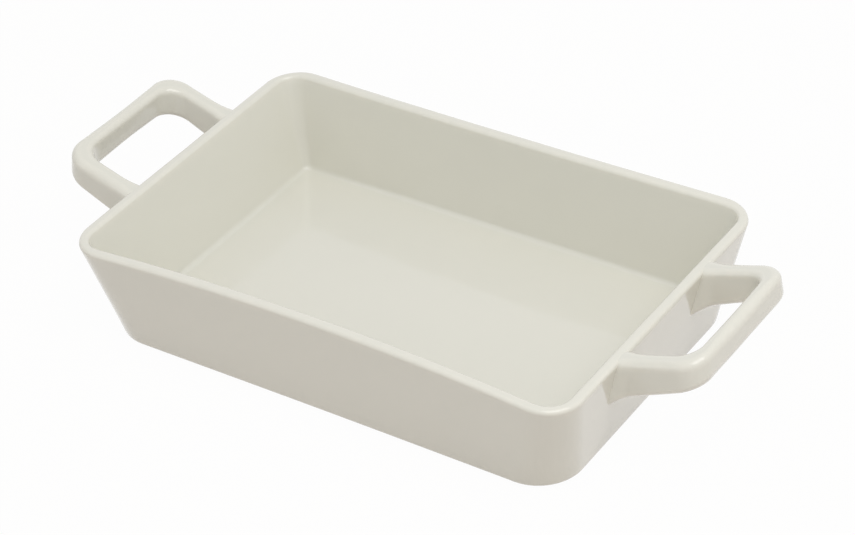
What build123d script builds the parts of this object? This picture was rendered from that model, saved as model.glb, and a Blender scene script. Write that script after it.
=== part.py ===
"""Rectangular stoneware baking dish, glazed, with a loop handle on each short end.

Origin at the centre of the footprint, on the surface the dish stands on.
X runs along the dish from handle to handle, Y across it from front to back, Z up.
"""
import os

from math import radians, tan

from build123d import *

# Tray, outside; the rim is measured to its sharp edge, before the lip is rounded
rim_length = 300.9
rim_width = 198.8
dish_height = 59.8
rim_corner_radius = 19.2
end_wall_splay = 11.65
long_wall_splay = 10.2
base_corner_radius = 24.0
base_edge_radius = 2.6
# Firing draws the long walls in at the middle of the rim, and lifts the rim a little there
long_wall_bow = 4.1
bow_shoulder_place_share = 0.8
bow_shoulder_depth_share = 0.35
rim_crown = 2.8

# Tray, inside
rim_thickness = 6.6
wall_foot_thickness = 8.4
floor_thickness = 7.0
inner_floor_corner_radius = 12.0
floor_fillet_radius = 6.5
lip_outer_radius = 2.2
lip_inner_radius = 2.6

# Bare foot ring under the floor
foot_height = 1.2
foot_inset = 5.0
foot_width = 6.0
foot_edge_radius = 0.5

# Loop handles
handle_reach = 43.5
handle_side_margin = 33.2
leg_thickness = 10.8
grip_thickness = 9.8
outer_corner_radius = 11.5
hole_corner_radius = 12.0
handle_edge_radius = 3.8
handle_top_slope = 19.4
handle_bottom_slope = 28.6
handle_top_drop = 1.4
handle_root_height = 25.5
handle_top_blend_radius = 24.0
handle_flush_gap = 0.4
left_handle_shift = 1.2

# Smoothed slip round the roots of the handles
root_flare_radius = 17.0
root_under_radius = 9.0
root_sink = 2.0
root_spare = 12.0
root_side_spare = 3.0

cut_overrun = 5.0
upright_tolerance = 0.01

# Places worked out from the sizes above
rim_end = rim_length / 2
wall_height = dish_height - foot_height
wall_lean = end_wall_splay / wall_height
base_length = rim_length - 2 * end_wall_splay
base_width = rim_width - 2 * long_wall_splay
floor_top = foot_height + floor_thickness
crown_top = dish_height + rim_crown
crown_radius = (rim_end**2 + rim_crown**2) / (2 * rim_crown)


def end_wall_x(height):
    """How far from the middle of the dish the outside of the end wall stands at a height."""
    return rim_end - (dish_height - height) * wall_lean


def size_at(height, low_height, low_size, rim_size):
    """Size at a height, on the straight line from a low size up to the size at the rim."""
    return low_size + (rim_size - low_size) * (height - low_height) / (dish_height - low_height)


def tray_outline(length, width, corner_radius, bow):
    """Rounded rectangle whose long sides leave the corners square and are drawn in by the bow."""
    end = length / 2
    side = width / 2
    corner_x = end - corner_radius
    corner_y = side - corner_radius
    shoulder_x = corner_x * bow_shoulder_place_share
    shoulder_y = side - bow * bow_shoulder_depth_share
    with BuildLine() as sides:
        CenterArc((corner_x, corner_y), corner_radius, 0, 90)
        CenterArc((-corner_x, corner_y), corner_radius, 90, 90)
        if bow:
            Spline(
                (corner_x, side),
                (shoulder_x, shoulder_y),
                (0, side - bow),
                (-shoulder_x, shoulder_y),
                (-corner_x, side),
                tangents=((-1, 0), (-1, 0)),
            )
        else:
            Line((corner_x, side), (-corner_x, side))
        mirror(about=Plane.XZ)
        Line((end, -corner_y), (end, corner_y))
        Line((-end, corner_y), (-end, -corner_y))
    make_face(sides.edges())


# Outside of the tray, solid: the walls lean out from the base, and the rim is crowned along the dish
with BuildPart() as tray_form:
    with BuildSketch(Plane.XY.offset(foot_height)):
        tray_outline(base_length, base_width, base_corner_radius, 0)
    with BuildSketch(Plane.XY.offset(crown_top)):
        tray_outline(
            size_at(crown_top, foot_height, base_length, rim_length),
            size_at(crown_top, foot_height, base_width, rim_width),
            size_at(crown_top, foot_height, base_corner_radius, rim_corner_radius),
            size_at(crown_top, foot_height, 0, long_wall_bow),
        )
    loft(ruled=True)
    with BuildSketch(Plane.XZ):
        with Locations((0, dish_height)):
            Rectangle(rim_length + cut_overrun, 2 * (rim_crown + cut_overrun))
        with Locations((0, crown_top - crown_radius)):
            Circle(crown_radius, mode=Mode.SUBTRACT)
    extrude(amount=rim_width, both=True, mode=Mode.SUBTRACT)
    fillet(tray_form.faces().sort_by(Axis.Z)[0].edges(), radius=base_edge_radius)
    fillet(tray_form.faces().sort_by(Axis.Z)[-1].edges(), radius=lip_outer_radius)

# Tray: the solid form hollowed out, its floor rounded into the walls
hollow_length = size_at(floor_top, foot_height, base_length, rim_length) - 2 * wall_foot_thickness
hollow_width = size_at(floor_top, foot_height, base_width, rim_width) - 2 * wall_foot_thickness
mouth_length = rim_length - 2 * rim_thickness
mouth_width = rim_width - 2 * rim_thickness
mouth_corner_radius = rim_corner_radius - rim_thickness
with BuildPart() as dish_body:
    add(tray_form.part)
    with BuildSketch(Plane.XY.offset(floor_top)):
        tray_outline(hollow_length, hollow_width, inner_floor_corner_radius, 0)
    with BuildSketch(Plane.XY.offset(crown_top)):
        tray_outline(
            size_at(crown_top, floor_top, hollow_length, mouth_length),
            size_at(crown_top, floor_top, hollow_width, mouth_width),
            size_at(crown_top, floor_top, inner_floor_corner_radius, mouth_corner_radius),
            size_at(crown_top, floor_top, 0, long_wall_bow),
        )
    loft(ruled=True, mode=Mode.SUBTRACT)
    fillet(dish_body.faces().filter_by(Axis.Z).sort_by(Axis.Z)[-1].edges(), radius=floor_fillet_radius)
    rim_top = dish_body.faces().filter_by(lambda face: len(face.inner_wires()) == 1)[0]
    fillet(rim_top.inner_wires()[0].edges(), radius=lip_inner_radius)
dish_body.part.label = "dish_body"

# Foot ring: bare clay, a little in from the edge of the underside
foot_length = base_length - 2 * foot_inset
foot_ring_width = base_width - 2 * foot_inset
with BuildPart() as foot_ring:
    with BuildSketch():
        RectangleRounded(foot_length, foot_ring_width, base_corner_radius - foot_inset)
        RectangleRounded(
            foot_length - 2 * foot_width,
            foot_ring_width - 2 * foot_width,
            base_corner_radius - foot_inset - foot_width,
            mode=Mode.SUBTRACT,
        )
    extrude(amount=foot_height)
    fillet(foot_ring.faces().sort_by(Axis.Z)[0].edges(), radius=foot_edge_radius)
foot_ring.part.label = "foot_ring"

# Handle: a flat loop, seen from above, cut to a strap that rises and thins away from the dish
leg_outside = rim_width / 2 - rim_corner_radius - handle_side_margin
leg_inside = leg_outside - leg_thickness
outer_root = leg_outside + root_flare_radius + root_side_spare
grip_outside = rim_end + handle_reach
grip_inside = grip_outside - grip_thickness
strap_end = handle_reach + cut_overrun
leg_top = dish_height - handle_flush_gap
top_line_at_rim = dish_height - handle_top_drop
bottom_line_at_rim = top_line_at_rim - handle_root_height
top_rise = tan(radians(handle_top_slope))
bottom_rise = tan(radians(handle_bottom_slope))
strap_tip_top = top_line_at_rim + strap_end * top_rise
strap_tip_bottom = bottom_line_at_rim + strap_end * bottom_rise
top_bend = rim_end + (leg_top - top_line_at_rim) / top_rise
under_root = bottom_line_at_rim - root_under_radius
hidden_foot = under_root - root_spare
flare_line = end_wall_x(under_root) - root_sink
loop_start = flare_line - root_spare

with BuildPart() as right_handle:
    with BuildSketch(Plane.XZ):
        with BuildLine():
            FilletPolyline(
                (loop_start, leg_top),
                (top_bend, leg_top),
                (rim_end + strap_end, strap_tip_top),
                (rim_end + strap_end, strap_tip_bottom),
                (end_wall_x(bottom_line_at_rim) - root_sink, bottom_line_at_rim),
                (end_wall_x(hidden_foot) - root_sink, hidden_foot),
                (loop_start, hidden_foot),
                radius=(0, handle_top_blend_radius, 0, 0, root_under_radius, 0, 0),
                close=True,
            )
        make_face()
    extrude(amount=outer_root + cut_overrun, both=True)
    with BuildSketch():
        with BuildLine():
            FilletPolyline(
                (loop_start, outer_root),
                (flare_line, outer_root),
                (flare_line, leg_outside),
                (grip_outside, leg_outside),
                (grip_outside, -leg_outside),
                (flare_line, -leg_outside),
                (flare_line, -outer_root),
                (loop_start, -outer_root),
                radius=(
                    0, 0, root_flare_radius, outer_corner_radius,
                    outer_corner_radius, root_flare_radius, 0, 0,
                ),
                close=True,
            )
        make_face()
        with BuildLine():
            FilletPolyline(
                (flare_line, leg_inside),
                (grip_inside, leg_inside),
                (grip_inside, -leg_inside),
                (flare_line, -leg_inside),
                radius=(root_flare_radius, hole_corner_radius, hole_corner_radius, root_flare_radius),
                close=True,
            )
        make_face(mode=Mode.SUBTRACT)
    extrude(amount=strap_tip_top + cut_overrun, mode=Mode.INTERSECT)
    loop_sides = right_handle.faces().filter_by(lambda face: abs(face.normal_at().Z) < upright_tolerance)
    loop_rims = loop_sides.edges().filter_by(Axis.Z, reverse=True)
    fillet(loop_rims.filter_by_position(Axis.X, flare_line, grip_outside), radius=handle_edge_radius)
    add(tray_form.part, mode=Mode.SUBTRACT)
right_handle.part.label = "right_handle"

# The left handle is the same loop turned to face the other way, set a little further back on its wall
with BuildPart() as left_handle:
    with Locations((0, left_handle_shift, 0)):
        add(mirror(right_handle.part, about=Plane.YZ, mode=Mode.PRIVATE))
left_handle.part.label = "left_handle"

os.makedirs("parts", exist_ok=True)
export_step(dish_body.part, "parts/dish_body.step")
export_step(foot_ring.part, "parts/foot_ring.step")
export_step(right_handle.part, "parts/right_handle.step")
export_step(left_handle.part, "parts/left_handle.step")
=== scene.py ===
"""Glazed stoneware lasagna dish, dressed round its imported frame, in a plain pale studio."""
import math

import bmesh
import bpy
import numpy as np
from mathutils import Matrix, Vector, noise


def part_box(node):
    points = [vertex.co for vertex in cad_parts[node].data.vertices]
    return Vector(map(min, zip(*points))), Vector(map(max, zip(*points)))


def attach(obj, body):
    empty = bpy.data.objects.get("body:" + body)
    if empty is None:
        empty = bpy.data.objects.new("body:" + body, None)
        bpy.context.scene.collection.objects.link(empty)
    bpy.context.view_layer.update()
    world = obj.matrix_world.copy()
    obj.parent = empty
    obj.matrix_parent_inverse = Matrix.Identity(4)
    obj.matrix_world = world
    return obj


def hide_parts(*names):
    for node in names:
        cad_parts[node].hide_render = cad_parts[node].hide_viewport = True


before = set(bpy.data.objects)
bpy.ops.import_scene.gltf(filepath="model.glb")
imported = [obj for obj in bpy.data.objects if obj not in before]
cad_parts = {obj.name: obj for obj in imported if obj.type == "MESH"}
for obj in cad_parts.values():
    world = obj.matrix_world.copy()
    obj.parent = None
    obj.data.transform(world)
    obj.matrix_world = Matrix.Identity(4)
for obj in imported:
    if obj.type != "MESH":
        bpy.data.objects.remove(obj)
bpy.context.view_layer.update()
studio = bpy.context.scene.collection

# Tray: a rectangular dish pressed from one slab of stoneware. Its long walls are drawn in and
# its rim is lifted a little by the firing. It is dipped in cream-white glaze, which runs thin
# over the lips and gathers where the walls meet the floor. Its colour is painted paler on the
# lips as a painted highlight, and deeper in the floor's rounding as painted shade.
tray_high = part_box("dish_body")[1]
ring_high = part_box("foot_ring")[1]
lip_outer_radius = 0.0022
lip_inner_radius = 0.0026
base_edge_radius = 0.0026
rim_crown = 0.0028
rim_corner_radius = 0.0192
base_corner_radius = 0.024
rim_thickness = 0.0066
long_wall_foot_thickness = 0.009
end_wall_foot_thickness = 0.0112
floor_thickness = 0.0062
floor_corner_radius = 0.004
mouth_corner_radius = 0.0112
floor_fillet_radius = 0.0035
long_wall_bow = 0.0041
bow_fade_power = 16
end_wall_splay = 0.01165
long_wall_splay = 0.0102

foot_height = ring_high.z
dish_height = tray_high.z - rim_crown
wall_height = dish_height - foot_height
end_wall_lean = end_wall_splay / wall_height
long_wall_lean = long_wall_splay / wall_height
floor_top = foot_height + floor_thickness


def rounding_loss(radius, lean):
    """How far a rounded lip stops short of its sharp edge, on a wall that leans out."""
    return radius * (1 / math.tan((math.pi / 2 - math.atan(lean)) / 2) - 1)


rim_end = tray_high.x + rounding_loss(lip_outer_radius, end_wall_lean)
crown_at_corner = rim_crown * (1 - ((rim_end - rim_corner_radius) / rim_end) ** 2)
sharp_side = tray_high.y + rounding_loss(lip_outer_radius, long_wall_lean)
rim_side = sharp_side - crown_at_corner * long_wall_lean

end_steps = 64
side_steps = 104
corner_steps = 14


def outline(half_length, half_width, corner_radius, bow):
    """Places round a rounded rectangle, from the right end to the back, its long sides drawn in."""
    corner_x = half_length - corner_radius
    corner_y = half_width - corner_radius
    up = np.linspace(-1, 1, end_steps, endpoint=False)
    along = np.linspace(1, -1, side_steps, endpoint=False)
    drawn_in = bow * (1 - along**2) * (1 - np.abs(along) ** bow_fade_power)
    quarter = np.linspace(0, math.pi / 2, corner_steps, endpoint=False)
    sides = (
        (np.full(end_steps, half_length), corner_y * up),
        (corner_x * along, half_width - drawn_in),
        (np.full(end_steps, -half_length), -corner_y * up),
        (-corner_x * along, drawn_in - half_width),
    )
    corners = ((corner_x, corner_y), (-corner_x, corner_y), (-corner_x, -corner_y), (corner_x, -corner_y))
    runs = []
    for turn, (side, corner) in enumerate(zip(sides, corners)):
        angle = quarter + turn * math.pi / 2
        runs.append(np.stack(side, axis=1))
        runs.append(np.stack((np.cos(angle), np.sin(angle)), axis=1) * corner_radius + np.array(corner))
    return np.concatenate(runs)


def raised(places, height):
    """Places of an outline, all at one height."""
    return np.column_stack((places, np.full(len(places), height)))


def unit(directions):
    """Directions at length one."""
    return directions / np.linalg.norm(directions, axis=1, keepdims=True)


def rounded(before, corner, after, radius, steps):
    """Rows of points on the arcs that round corners, where a line turns from before to after."""
    to_before = unit(before - corner)
    to_after = unit(after - corner)
    half_angle = np.arccos(np.clip((to_before * to_after).sum(axis=1), -1, 1))[:, None] / 2
    centre = corner + unit(to_before + to_after) * radius / np.sin(half_angle)
    start = corner + to_before * radius / np.tan(half_angle) - centre
    end = corner + to_after * radius / np.tan(half_angle) - centre
    sweep = math.pi - 2 * half_angle
    rows = []
    for share in np.linspace(0, 1, steps + 1):
        turned = np.sin((1 - share) * sweep) * start + np.sin(share * sweep) * end
        rows.append(centre + turned / np.sin(sweep))
    return rows


def between(start, end, steps):
    """Rows of points inside a stretch, without its ends."""
    return [start + (end - start) * step / steps for step in range(1, steps)]


# The four sharp edges of the wall's section
base_outline = outline(rim_end - end_wall_splay, rim_side - long_wall_splay, base_corner_radius, 0)
base_edge = raised(base_outline, foot_height)
rim_outline = outline(rim_end, rim_side, rim_corner_radius, long_wall_bow)
rim_edge = raised(rim_outline, dish_height)
floor_share = floor_thickness / wall_height
floor_half_length = rim_end - end_wall_splay * (1 - floor_share) - end_wall_foot_thickness
floor_half_width = rim_side - long_wall_splay * (1 - floor_share) - long_wall_foot_thickness
floor_outline = outline(floor_half_length, floor_half_width, floor_corner_radius, 0)
floor_edge = raised(floor_outline, floor_top)
mouth_half_length = rim_end - rim_thickness
mouth_half_width = rim_side - rim_thickness
mouth_outline = outline(mouth_half_length, mouth_half_width, mouth_corner_radius, long_wall_bow)
mouth_edge = raised(mouth_outline, dish_height)


def crowned(low_edge, high_edge):
    """The upper edge of a leaning face, carried up to the crown of the rim."""
    crown = rim_crown * (1 - np.clip(np.abs(high_edge[:, 0]) / rim_end, 0, 1) ** 2)
    share = crown / (high_edge[:, 2] - low_edge[:, 2])
    return high_edge + (high_edge - low_edge) * share[:, None]


# Rows of points, from the middle of the floor up over the rim to the middle of the underside
floor_steps = 24
fillet_steps = 10
inner_wall_steps = 20
lip_steps = 8
rim_flat_steps = 3
outer_wall_steps = 22
base_round_steps = 6
underside_steps = 16

lip_outside = crowned(base_edge, rim_edge)
lip_inside = crowned(floor_edge, mouth_edge)
spine_share = (floor_half_length - floor_half_width) / floor_half_length
floor_spine = floor_edge * (spine_share, 0, 1)
base_spine = base_edge * (spine_share, 0, 1)
floor_fillet = rounded(floor_spine, floor_edge, lip_inside, floor_fillet_radius, fillet_steps)
inner_lip = rounded(floor_edge, lip_inside, lip_outside, lip_inner_radius, lip_steps)
outer_lip = rounded(lip_inside, lip_outside, base_edge, lip_outer_radius, lip_steps)
base_round = rounded(lip_outside, base_edge, base_spine, base_edge_radius, base_round_steps)
tray_rows = (
    [floor_spine]
    + between(floor_spine, floor_fillet[0], floor_steps)
    + floor_fillet
    + between(floor_fillet[-1], inner_lip[0], inner_wall_steps)
    + inner_lip
    + between(inner_lip[-1], outer_lip[0], rim_flat_steps)
    + outer_lip
    + between(outer_lip[-1], base_round[0], outer_wall_steps)
    + base_round
    + between(base_round[-1], base_spine, underside_steps)
    + [base_spine]
)


def rows_mesh(name, rows, closed_ends, flipped=False):
    """A mesh of quads over rows of points, each row a closed loop."""
    count = len(rows[0])
    faces = []
    for row in range(len(rows) - 1):
        here = row * count
        next_row = here + count
        for place in range(count):
            beside = (place + 1) % count
            quad = [here + place, next_row + place, next_row + beside, here + beside]
            faces.append(quad[::-1] if flipped else quad)
    if closed_ends:
        first = list(range(count))
        last = [(len(rows) - 1) * count + place for place in range(count)]
        faces.append(first[::-1] if flipped else first)
        faces.append(last if flipped else last[::-1])
    mesh = bpy.data.meshes.new(name)
    mesh.from_pydata(np.concatenate(rows).tolist(), [], faces)
    mesh.validate()
    return mesh


def near_row(rows, marks, spread):
    """Mask for each point of the rows: one at the marked rows, fading along the section."""
    stack = np.array(rows)
    steps = np.linalg.norm(np.diff(stack, axis=0), axis=2).mean(axis=1)
    travel = np.concatenate(([0], np.cumsum(steps)))
    mask = np.zeros(len(rows))
    for mark in marks:
        mask = np.maximum(mask, np.exp(-(((travel - travel[mark]) / spread) ** 2)))
    return np.repeat(mask[:, None], len(rows[0]), axis=1)


def add_mask(mesh, name, values):
    """Writes a mask as a value on each point of a mesh."""
    attribute = mesh.attributes.new(name, "FLOAT", "POINT")
    attribute.data.foreach_set("value", np.asarray(values, dtype=np.float32).ravel())


# Hand-made unevenness: a slow swell with a finer one on it, in another place for each seed
seed_strides = (3.7, 1.9, 5.3)
fine_swell_ratio = 2.6
fine_swell_share = 0.4


def uneven(mesh, depth, wave, seed, fades):
    """Sinks each point along its normal by a smooth noise, faded by a function of its place."""
    shift = Vector([seed * stride for stride in seed_strides])

    def swell_at(place):
        """The noise at a place, about from minus one to one."""
        slow = noise.noise(place / wave + shift)
        fine = noise.noise(place * fine_swell_ratio / wave - shift)
        return slow + fine_swell_share * fine

    points = np.empty(len(mesh.vertices) * 3)
    mesh.vertices.foreach_get("co", points)
    points = points.reshape(-1, 3)
    normals = np.array([normal.vector for normal in mesh.vertex_normals])
    swell = np.array([swell_at(Vector(point)) for point in points])
    sink = depth * (np.clip(swell, -1, 1) - 1) / 2 * fades(points)
    mesh.vertices.foreach_set("co", (points + normals * sink[:, None]).ravel())
    mesh.update()


tray_mesh = rows_mesh("tray", tray_rows, closed_ends=False)

# The glaze runs thin over both lips and the base's edge, painted paler there as a painted highlight,
# and gathers low in the floor's rounding, painted deeper there as painted shade
first_inner_lip = floor_steps + len(floor_fillet) + inner_wall_steps - 1
first_outer_lip = first_inner_lip + len(inner_lip) + rim_flat_steps - 1
first_base_round = first_outer_lip + len(outer_lip) + outer_wall_steps - 1
thin_highlight_rows = (
    first_inner_lip + lip_steps // 2,
    first_outer_lip + lip_steps // 2,
    first_base_round + base_round_steps // 2,
)
rows_up_to_pool_shade = 4
# Painted shade: the rows in the floor's rounding, painted deeper where the glaze pools
pool_shade_rows = (floor_steps + rows_up_to_pool_shade,)
thin_highlight_spread = 0.0032
pool_shade_spread = 0.004
add_mask(tray_mesh, "glaze_thin_highlight", near_row(tray_rows, thin_highlight_rows, thin_highlight_spread))
add_mask(tray_mesh, "glaze_pool_shade", near_row(tray_rows, pool_shade_rows, pool_shade_spread))

# The spines fold to one line each, so points that share a place are joined
same_place = 1e-6
no_length = 1e-7
cleaner = bmesh.new()
cleaner.from_mesh(tray_mesh)
bmesh.ops.remove_doubles(cleaner, verts=cleaner.verts, dist=same_place)
bmesh.ops.dissolve_degenerate(cleaner, edges=cleaner.edges, dist=no_length)
bmesh.ops.recalc_face_normals(cleaner, faces=cleaner.faces)
cleaner.to_mesh(tray_mesh)
cleaner.free()
tray_mesh.shade_smooth()

tray_uneven_depth = 0.0003
tray_uneven_wave = 0.06
tray_seed = 1
true_foot_height = 0.002
foot_fade = 0.01


def away_from_foot(points):
    """Nothing low on the tray, so that it stands flat, and one from a little higher up."""
    return np.clip((points[:, 2] - true_foot_height) / foot_fade, 0, 1)


uneven(tray_mesh, tray_uneven_depth, tray_uneven_wave, tray_seed, away_from_foot)
tray = bpy.data.objects.new("tray", tray_mesh)
studio.objects.link(tray)
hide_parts("dish_body")
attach(tray, "root")


def new_group(name, inputs, outputs):
    """A shader node group with named inputs (name, kind, value) and outputs (name, kind)."""
    group = bpy.data.node_groups.new(name, "ShaderNodeTree")
    for label, kind, value in inputs:
        socket = group.interface.new_socket(label, in_out="INPUT", socket_type=kind)
        socket.default_value = value
    for label, kind in outputs:
        group.interface.new_socket(label, in_out="OUTPUT", socket_type=kind)
    return group, group.nodes.new("NodeGroupInput"), group.nodes.new("NodeGroupOutput")


def noise_node(tree, coordinates, scale, detail, roughness=0.5):
    """A noise texture over the coordinates, with its scale in waves a metre."""
    node = tree.nodes.new("ShaderNodeTexNoise")
    node.inputs["Scale"].default_value = scale
    node.inputs["Detail"].default_value = detail
    node.inputs["Roughness"].default_value = roughness
    tree.links.new(coordinates, node.inputs["Vector"])
    return node


def ramp_between(tree, value, low, high, low_to=0.0, high_to=1.0):
    """Maps a value from a range to another, smoothly."""
    node = tree.nodes.new("ShaderNodeMapRange")
    node.interpolation_type = "SMOOTHSTEP"
    node.inputs["From Min"].default_value = low
    node.inputs["From Max"].default_value = high
    node.inputs["To Min"].default_value = low_to
    node.inputs["To Max"].default_value = high_to
    tree.links.new(value, node.inputs["Value"])
    return node.outputs["Result"]


def feed(tree, part, socket):
    """Gives a socket its part, which is another socket or a plain value."""
    if isinstance(part, bpy.types.NodeSocket):
        tree.links.new(part, socket)
    else:
        socket.default_value = part


def combined(tree, operation, first, second):
    """A math node over two values, each a socket or a number."""
    node = tree.nodes.new("ShaderNodeMath")
    node.operation = operation
    feed(tree, first, node.inputs[0])
    feed(tree, second, node.inputs[1])
    return node.outputs[0]


def socket_called(sockets, identifier):
    """The socket of a node that goes by an identifier."""
    return next(socket for socket in sockets if socket.identifier == identifier)


def mixed_colour(tree, factor, first, second):
    """A colour mixed from two, each a socket or a colour."""
    node = tree.nodes.new("ShaderNodeMix")
    node.data_type = "RGBA"
    tree.links.new(factor, node.inputs["Factor"])
    feed(tree, first, socket_called(node.inputs, "A_Color"))
    feed(tree, second, socket_called(node.inputs, "B_Color"))
    return socket_called(node.outputs, "Result_Color")


# Glaze tones: the cream; a paler cream, thin glaze and also a painted highlight on the lips and rounded
# edges; a deeper cream, pooled glaze and also painted shade in the floor's rounding and at the handles'
# roots, which is the tone of the faint clouds as well
cream_glaze = (0.758, 0.746, 0.670, 1)
cream_thin_and_highlight = (0.79, 0.770, 0.690, 1)
cream_pooled_and_shaded = (0.738, 0.730, 0.655, 1)

# Glaze colour: the cream white in faint clouds, deeper where it pools and paler where it thins;
# the deeper tone there is also painted shade, and the paler tone a painted highlight
cloud_scale = 14
cloud_strength = 0.35
ragged_scale = 160
least_thin_highlight = 0.35
glaze_colour, inside, outside = new_group(
    "glaze_colour",
    (
        ("Coordinates", "NodeSocketVector", (0, 0, 0)),
        ("Thin Highlight", "NodeSocketFloat", 0.0),
        ("Pool Shade", "NodeSocketFloat", 0.0),
        ("Glaze", "NodeSocketColor", cream_glaze),
        ("Over Clay Highlight", "NodeSocketColor", cream_thin_and_highlight),
        ("Pooled And Shaded", "NodeSocketColor", cream_pooled_and_shaded),
    ),
    (("Colour", "NodeSocketColor"),),
)
clouds = noise_node(glaze_colour, inside.outputs["Coordinates"], cloud_scale, detail=3)
cloud_mask = ramp_between(glaze_colour, clouds.outputs["Fac"], low=0.35, high=0.7, high_to=cloud_strength)
# The deeper tone tints the random clouds, and through the pool mask it is painted shade
clouded = mixed_colour(glaze_colour, cloud_mask, inside.outputs["Glaze"], inside.outputs["Pooled And Shaded"])
pooled_and_shaded = mixed_colour(glaze_colour, inside.outputs["Pool Shade"], clouded, inside.outputs["Pooled And Shaded"])
ragged = noise_node(glaze_colour, inside.outputs["Coordinates"], ragged_scale, detail=4)
ragged_highlight_mask = ramp_between(glaze_colour, ragged.outputs["Fac"], low=0.3, high=0.7, low_to=least_thin_highlight)
thin_highlight_mask = combined(glaze_colour, "MULTIPLY", inside.outputs["Thin Highlight"], ragged_highlight_mask)
thinned_highlight = mixed_colour(glaze_colour, thin_highlight_mask, pooled_and_shaded, inside.outputs["Over Clay Highlight"])
glaze_colour.links.new(thinned_highlight, outside.inputs["Colour"])

# Glaze surface: a slow wave, the faint orange peel of fired glaze, and patches of softer gloss
wave_scale = 45
wave_depth = 0.0002
peel_scale = 420
peel_depth = 0.0000015
dull_scale = 30
dull_roughness = 0.6
glaze_surface, inside, outside = new_group(
    "glaze_surface",
    (
        ("Coordinates", "NodeSocketVector", (0, 0, 0)),
        ("Wave", "NodeSocketFloat", wave_depth),
        ("Peel", "NodeSocketFloat", peel_depth),
    ),
    (("Height", "NodeSocketFloat"), ("Dullness", "NodeSocketFloat")),
)
wave = noise_node(glaze_surface, inside.outputs["Coordinates"], wave_scale, detail=1)
peel = noise_node(glaze_surface, inside.outputs["Coordinates"], peel_scale, detail=2)
wave_height = combined(glaze_surface, "MULTIPLY", wave.outputs["Fac"], inside.outputs["Wave"])
peel_height = combined(glaze_surface, "MULTIPLY", peel.outputs["Fac"], inside.outputs["Peel"])
whole_height = combined(glaze_surface, "ADD", wave_height, peel_height)
glaze_surface.links.new(whole_height, outside.inputs["Height"])
dull = noise_node(
    glaze_surface, inside.outputs["Coordinates"], dull_scale, detail=4, roughness=dull_roughness
)
dull_mask = ramp_between(glaze_surface, dull.outputs["Fac"], low=0.3, high=0.75)
glaze_surface.links.new(dull_mask, outside.inputs["Dullness"])


def placed_group(tree, group, values):
    """A node group placed in a material, with its inputs linked or set."""
    node = tree.nodes.new("ShaderNodeGroup")
    node.node_tree = group
    for label, value in values.items():
        feed(tree, value, node.inputs[label])
    return node


def mask_socket(tree, name):
    """The mask that a mesh carries under a name."""
    node = tree.nodes.new("ShaderNodeAttribute")
    node.attribute_name = name
    return node.outputs["Fac"]


glass_ior = 1.5
under_gloss_level = 0.1
glossy_roughness = 0.14
dull_patch_roughness = 0.22
coat_share = 0.85


def glaze_material(name, blur):
    """Fired cream glaze over stoneware, with its own blur of its reflections for a piece."""
    material = bpy.data.materials.new(name)
    material.use_nodes = True
    tree = material.node_tree
    shader = tree.nodes["Principled BSDF"]
    place = tree.nodes.new("ShaderNodeTexCoord").outputs["Object"]
    # Colour with a painted highlight on thin edges and painted shade where the glaze pools
    colour = placed_group(
        tree,
        glaze_colour,
        {
            "Coordinates": place,
            "Thin Highlight": mask_socket(tree, "glaze_thin_highlight"),
            "Pool Shade": mask_socket(tree, "glaze_pool_shade"),
            "Glaze": cream_glaze,
            "Over Clay Highlight": cream_thin_and_highlight,
            "Pooled And Shaded": cream_pooled_and_shaded,
        },
    )
    surface = placed_group(tree, glaze_surface, {"Coordinates": place, "Wave": wave_depth})
    bump = tree.nodes.new("ShaderNodeBump")
    bump.inputs["Strength"].default_value = 1.0
    bump.inputs["Distance"].default_value = 1.0
    tree.links.new(surface.outputs["Height"], bump.inputs["Height"])
    tree.links.new(bump.outputs["Normal"], shader.inputs["Normal"])
    tree.links.new(colour.outputs["Colour"], shader.inputs["Base Color"])
    gloss = ramp_between(tree, surface.outputs["Dullness"], 0, 1, glossy_roughness, dull_patch_roughness)
    tree.links.new(gloss, shader.inputs["Roughness"])
    shader.inputs["IOR"].default_value = glass_ior
    shader.inputs["Specular IOR Level"].default_value = under_gloss_level

    # Rays that left a matt surface don't see the coat, so it mirrors no light on to the rest
    path = tree.nodes.new("ShaderNodeLightPath")
    not_soft_light = combined(tree, "SUBTRACT", 1.0, path.outputs["Is Diffuse Ray"])
    coat_weight = combined(tree, "MULTIPLY", not_soft_light, coat_share)
    tree.links.new(coat_weight, shader.inputs["Coat Weight"])
    shader.inputs["Coat Roughness"].default_value = blur
    shader.inputs["Coat IOR"].default_value = glass_ior
    return material


tray_mesh.materials.append(glaze_material("tray_glaze", blur=0.03))

# Handles: one flat loop of clay for each end, cast, stuck to the end wall with slip and smoothed
# over there, so that the roots spread into the wall low down and the tops run into the rim. Each
# loop rises and thins away from the dish, and is glazed with the tray.
right_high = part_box("right_handle")[1]
grip_edge_loss = 0.0003
leg_outside = 0.0472
hole_side_low = 0.0353
hole_side_top = 0.0368
grip_thickness_low = 0.0083
grip_thickness_top = 0.0096
grip_face_lean = 0.0015
outer_radius_low = 0.0117
outer_radius_top = 0.014
hole_radius_low = 0.013
hole_radius_top = 0.01
inner_low_edge_radius = 0.0036
outer_low_edge_radius = 0.0046
outer_top_edge_radius = 0.0042
inner_top_edge_radius = 0.0039
top_slope = math.tan(math.radians(17.6))
bottom_slope = math.tan(math.radians(24.7))
top_drop = 0.0002
root_height = 0.0228
flush_gap = 0.0004
top_blend = 0.003
flare_low = 0.0042
flare_top = 0.0007
flare_length = 0.009
under_flare = 0.0022
root_sink = 0.003

grip_outside = right_high.x + grip_edge_loss
grip_outside_top = grip_outside - grip_face_lean
hole_end_low = grip_outside - grip_thickness_low
hole_end_top = grip_outside - grip_thickness_top
leg_top = dish_height - flush_gap
top_at_rim = dish_height - top_drop
bottom_at_rim = top_at_rim - root_height

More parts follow.
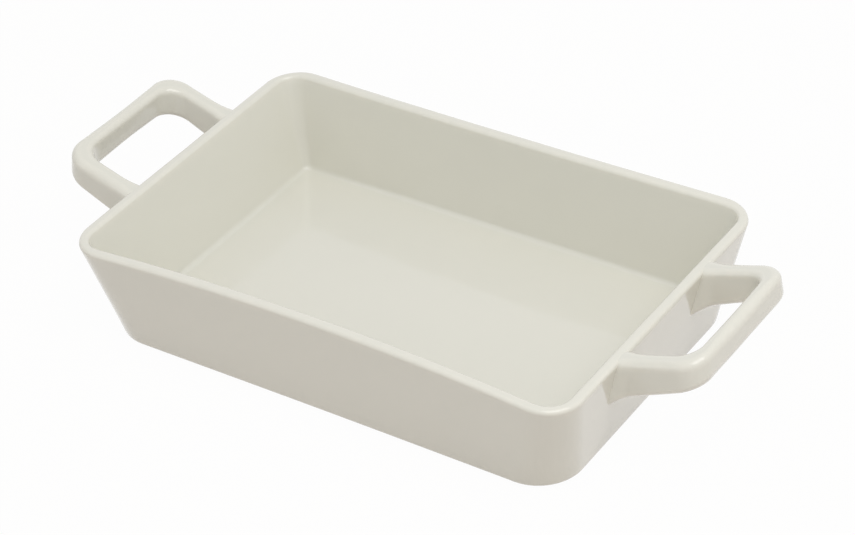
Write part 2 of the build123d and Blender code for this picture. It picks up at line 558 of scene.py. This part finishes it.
# Steps along half a handle, from the root out along the leg, round the bend and to mid-grip
root_stretch = 0.4
root_steps = 16
leg_steps = 14
bend_steps = 16
grip_steps = 14
root_tries = 12

# Steps round the strap: each rounded edge, the flats on top and below, and the tall faces
edge_steps = 6
flat_steps = 4
face_steps = 8


def wall_x(height):
    """Where the outside of the end wall stands at a height."""
    return rim_end - (dish_height - height) * end_wall_lean


def handle_top(x):
    """Height of the top of a handle, level at the rim and then rising to the grip."""
    rising = top_at_rim + (x - rim_end) * top_slope - leg_top
    return leg_top + (rising + np.hypot(rising, top_blend * top_slope)) / 2


def spread(clear):
    """One at the wall, falling in a hollow curve to nothing where the root's flare ends."""
    left = np.clip(1 - clear / flare_length, 0, 1)
    return left**2 * (3 - left) / 2


def handle_bottom(x):
    """Height of the underside of a handle, drawn down a little where it meets the wall."""
    straight = bottom_at_rim + (x - rim_end) * bottom_slope
    return straight - under_flare * spread(x - wall_x(straight))


def rail(side, end, radius, height_at, flare, outward):
    """One sharp edge of the strap, from the back root round the grip to the front root."""
    turn_x = end - radius
    root_x = turn_x
    for _ in range(root_tries):
        root_x = wall_x(height_at(root_x)) - root_sink
    near_shares = np.linspace(0, root_stretch, root_steps, endpoint=False)
    far_shares = np.linspace(root_stretch, 1, leg_steps, endpoint=False)
    leg_x = root_x + (turn_x - root_x) * np.concatenate((near_shares, far_shares))
    leg_y = side + outward * flare * spread(leg_x - wall_x(height_at(leg_x)))
    angles = np.linspace(math.pi / 2, 0, bend_steps, endpoint=False)
    bend_x = turn_x + radius * np.cos(angles)
    bend_y = side - radius + radius * np.sin(angles)
    grip_y = np.linspace(side - radius, 0, grip_steps)
    x = np.concatenate((leg_x, bend_x, np.full(grip_steps, end)))
    y = np.concatenate((leg_y, bend_y, grip_y))
    half = np.stack((x, y, height_at(x)), axis=1)
    return np.concatenate((half, half[-2::-1] * (1, -1, 1)))


def handle_rings():
    """Closed rings of points round the strap from root to root, and the mask of their rounded edges."""
    inner_low = rail(hole_side_low, hole_end_low, hole_radius_low, handle_bottom, flare_low, -1)
    outer_low = rail(leg_outside, grip_outside, outer_radius_low, handle_bottom, flare_low, 1)
    outer_top = rail(leg_outside, grip_outside_top, outer_radius_top, handle_top, flare_top, 1)
    inner_top = rail(hole_side_top, hole_end_top, hole_radius_top, handle_top, flare_top, -1)
    arcs = (
        rounded(inner_top, inner_low, outer_low, inner_low_edge_radius, edge_steps),
        rounded(inner_low, outer_low, outer_top, outer_low_edge_radius, edge_steps),
        rounded(outer_low, outer_top, inner_top, outer_top_edge_radius, edge_steps),
        rounded(outer_top, inner_top, inner_low, inner_top_edge_radius, edge_steps),
    )
    steps_after = (flat_steps, face_steps, flat_steps, face_steps)
    ring = []
    edges = []
    for index, arc in enumerate(arcs):
        next_arc = arcs[(index + 1) % len(arcs)]
        flat = between(arc[-1], next_arc[0], steps_after[index])
        ring += arc + flat
        edges += [1.0] * len(arc) + [0.0] * len(flat)
    return list(np.stack(ring, axis=1)), np.array(edges)


handle_glaze = glaze_material("handle_glaze", blur=0.04)
# Handles: rounded edges painted paler as a painted highlight, roots painted deeper near the wall as
# painted shade
edge_thin_highlight = 0.8
pool_shade_inset = 0.004
pool_shade_length = 0.008
handle_uneven_depth = 0.0004
handle_uneven_wave = 0.035
root_fade = 0.01


def away_from_wall(points):
    """Nothing at the rim's end, where a handle joins the tray, and one from a little further out."""
    return np.clip((np.abs(points[:, 0]) - rim_end) / root_fade, 0, 1)


def make_handle(name, node, facing, seed):
    """One loop on its end wall: facing is 1 on the right and -1 on the left."""
    low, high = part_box(node)
    middle_y = (low.y + high.y) / 2
    rings, edges = handle_rings()
    rings = [ring * (facing, 1, 1) + (0, middle_y, 0) for ring in rings]
    mesh = rows_mesh(name, rings, closed_ends=True, flipped=facing > 0)
    # Painted highlight along the handle's rounded edges
    add_mask(mesh, "glaze_thin_highlight", np.tile(edges * edge_thin_highlight, (len(rings), 1)))
    # Painted shade deepening the handle's root towards the wall
    clear = np.array([abs(ring[:, 0]) - rim_end + pool_shade_inset for ring in rings])
    add_mask(mesh, "glaze_pool_shade", np.clip(1 - clear / pool_shade_length, 0, 1))
    mesh.shade_smooth()
    uneven(mesh, handle_uneven_depth, handle_uneven_wave, seed, away_from_wall)
    handle = bpy.data.objects.new(name, mesh)
    studio.objects.link(handle)
    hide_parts(node)
    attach(handle, "root")
    mesh.materials.append(handle_glaze)


make_handle("handle_left", "left_handle", facing=-1, seed=5)
make_handle("handle_right", "right_handle", facing=1, seed=2)

# Foot ring: the low ring of bare clay under the floor, which the dish stands on. It is wiped
# clean of glaze before the firing, so that it doesn't stick to the kiln shelf.
bare_clay_tone = (0.60, 0.52, 0.41, 1)
clay_speck_tone = (0.44, 0.36, 0.27, 1)
grain_scale = 900
grain_roughness = 0.7
grain_depth = 0.00012
speck_scale = 380
speck_roughness = 0.6
smooth_clay = 0.72
rough_clay = 0.95
clay = bpy.data.materials.new("bare_clay")
clay.use_nodes = True
clay_tree = clay.node_tree
clay_shader = clay_tree.nodes["Principled BSDF"]
clay_place = clay_tree.nodes.new("ShaderNodeTexCoord").outputs["Object"]
grain = noise_node(clay_tree, clay_place, grain_scale, detail=4, roughness=grain_roughness)
specks = noise_node(clay_tree, clay_place, speck_scale, detail=3, roughness=speck_roughness)
speck_mask = ramp_between(clay_tree, specks.outputs["Fac"], low=0.52, high=0.72)
clay_colour = mixed_colour(clay_tree, speck_mask, bare_clay_tone, clay_speck_tone)
clay_tree.links.new(clay_colour, clay_shader.inputs["Base Color"])
clay_roughness = ramp_between(clay_tree, grain.outputs["Fac"], 0.2, 0.8, smooth_clay, rough_clay)
clay_tree.links.new(clay_roughness, clay_shader.inputs["Roughness"])
clay_bump = clay_tree.nodes.new("ShaderNodeBump")
clay_bump.inputs["Distance"].default_value = grain_depth
clay_tree.links.new(grain.outputs["Fac"], clay_bump.inputs["Height"])
clay_tree.links.new(clay_bump.outputs["Normal"], clay_shader.inputs["Normal"])
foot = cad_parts["foot_ring"]
foot.data.materials.clear()
foot.data.materials.append(clay)

# Studio: a plain white table and surround, which the glaze mirrors as it does in a light tent.
# The table keeps a trace of the dish's soft shadow.
half_floor = 3.0
floor_corners = ((-1, -1), (1, -1), (1, 1), (-1, 1))
floor_places = [(x * half_floor, y * half_floor, 0) for x, y in floor_corners]
floor_mesh = bpy.data.meshes.new("studio_floor")
floor_mesh.from_pydata(floor_places, [], [(0, 1, 2, 3)])
studio_floor = bpy.data.objects.new("studio_floor", floor_mesh)
studio.objects.link(studio_floor)


def seen_directly(tree):
    """One for rays from the camera, a reflection or a clear body, and zero for other light."""
    path = tree.nodes.new("ShaderNodeLightPath")
    shown = combined(tree, "MAXIMUM", path.outputs["Is Camera Ray"], path.outputs["Is Glossy Ray"])
    return combined(tree, "MAXIMUM", shown, path.outputs["Is Transmission Ray"])


white = (1, 1, 1, 1)
table_tone = (0.70, 0.645, 0.60, 1)
table_glow_share = 0.97
table = bpy.data.materials.new("white_table")
table.use_nodes = True
table_tree = table.node_tree
table_tree.nodes.clear()
table_cover = table_tree.nodes.new("ShaderNodeBsdfDiffuse")
table_cover.inputs["Color"].default_value = table_tone
table_glow = table_tree.nodes.new("ShaderNodeEmission")
table_glow.inputs["Color"].default_value = white
table_glow.inputs["Strength"].default_value = 1.0
table_mix = table_tree.nodes.new("ShaderNodeMixShader")
table_out = table_tree.nodes.new("ShaderNodeOutputMaterial")
table_share = combined(table_tree, "MULTIPLY", seen_directly(table_tree), table_glow_share)
table_tree.links.new(table_share, table_mix.inputs["Fac"])
table_tree.links.new(table_cover.outputs["BSDF"], table_mix.inputs[1])
table_tree.links.new(table_glow.outputs["Emission"], table_mix.inputs[2])
table_tree.links.new(table_mix.outputs["Shader"], table_out.inputs["Surface"])
floor_mesh.materials.append(table)

tent_strength = 0.585
backdrop_strength = 1.0
surround = bpy.data.worlds.new("surround")
bpy.context.scene.world = surround
surround.use_nodes = True
surround_tree = surround.node_tree
surround_tree.nodes.clear()
tent = surround_tree.nodes.new("ShaderNodeBackground")
tent.inputs["Color"].default_value = white
tent.inputs["Strength"].default_value = tent_strength
backdrop = surround_tree.nodes.new("ShaderNodeBackground")
backdrop.inputs["Color"].default_value = white
backdrop.inputs["Strength"].default_value = backdrop_strength
tent_mix = surround_tree.nodes.new("ShaderNodeMixShader")
tent_out = surround_tree.nodes.new("ShaderNodeOutputWorld")
surround_tree.links.new(seen_directly(surround_tree), tent_mix.inputs["Fac"])
surround_tree.links.new(tent.outputs["Background"], tent_mix.inputs[1])
surround_tree.links.new(backdrop.outputs["Background"], tent_mix.inputs[2])
surround_tree.links.new(tent_mix.outputs["Shader"], tent_out.inputs["Surface"])

dish_middle = (0, 0, 0.04)


def softbox(name, place, width, height, power):
    """A soft rectangular lamp that looks at the middle of the dish."""
    lamp = bpy.data.lights.new(name, "AREA")
    lamp.shape = "RECTANGLE"
    lamp.size = width
    lamp.size_y = height
    lamp.energy = power
    holder = bpy.data.objects.new(name, lamp)
    holder.location = place
    holder.rotation_euler = (Vector(dish_middle) - Vector(place)).to_track_quat("-Z", "Y").to_euler()
    studio.objects.link(holder)


softbox("overhead_softbox", place=(0.62, -0.24, 1.35), width=1.1, height=0.9, power=9.9)
softbox("side_softbox", place=(1.3, 0.9, 0.9), width=0.7, height=0.9, power=0.45)
softbox("front_softbox", place=(-0.8, -1.0, 0.6), width=0.6, height=0.6, power=0.65)

# Camera: at the photograph's angle, with the lens and the tilt that the fit to its outline gave
image_width_pixels = 855
sensor_width = 36
focal_pixels = 2783.06
camera_azimuth = math.radians(35.832)
camera_elevation = math.radians(35.658)
camera_roll = math.radians(-4.39)
camera_distance = 1.46184
camera_right = 0.00474
camera_up = 0.02745
back = Vector((
    math.sin(camera_azimuth) * math.cos(camera_elevation),
    -math.cos(camera_azimuth) * math.cos(camera_elevation),
    math.sin(camera_elevation),
))
level_right = Vector((0, 0, 1)).cross(back).normalized()
level_up = back.cross(level_right)
right = level_right * math.cos(camera_roll) + level_up * math.sin(camera_roll)
up = level_up * math.cos(camera_roll) - level_right * math.sin(camera_roll)
eye = back * camera_distance + right * camera_right + up * camera_up
camera = bpy.data.cameras.new("camera")
camera.sensor_fit = "HORIZONTAL"
camera.sensor_width = sensor_width
camera.lens = focal_pixels / image_width_pixels * sensor_width
camera_holder = bpy.data.objects.new("camera", camera)
camera_holder.matrix_world = Matrix((right, up, back)).transposed().to_4x4()
camera_holder.matrix_world.translation = eye
studio.objects.link(camera_holder)
bpy.context.scene.camera = camera_holder
bpy.context.scene.view_settings.view_transform = "Standard"
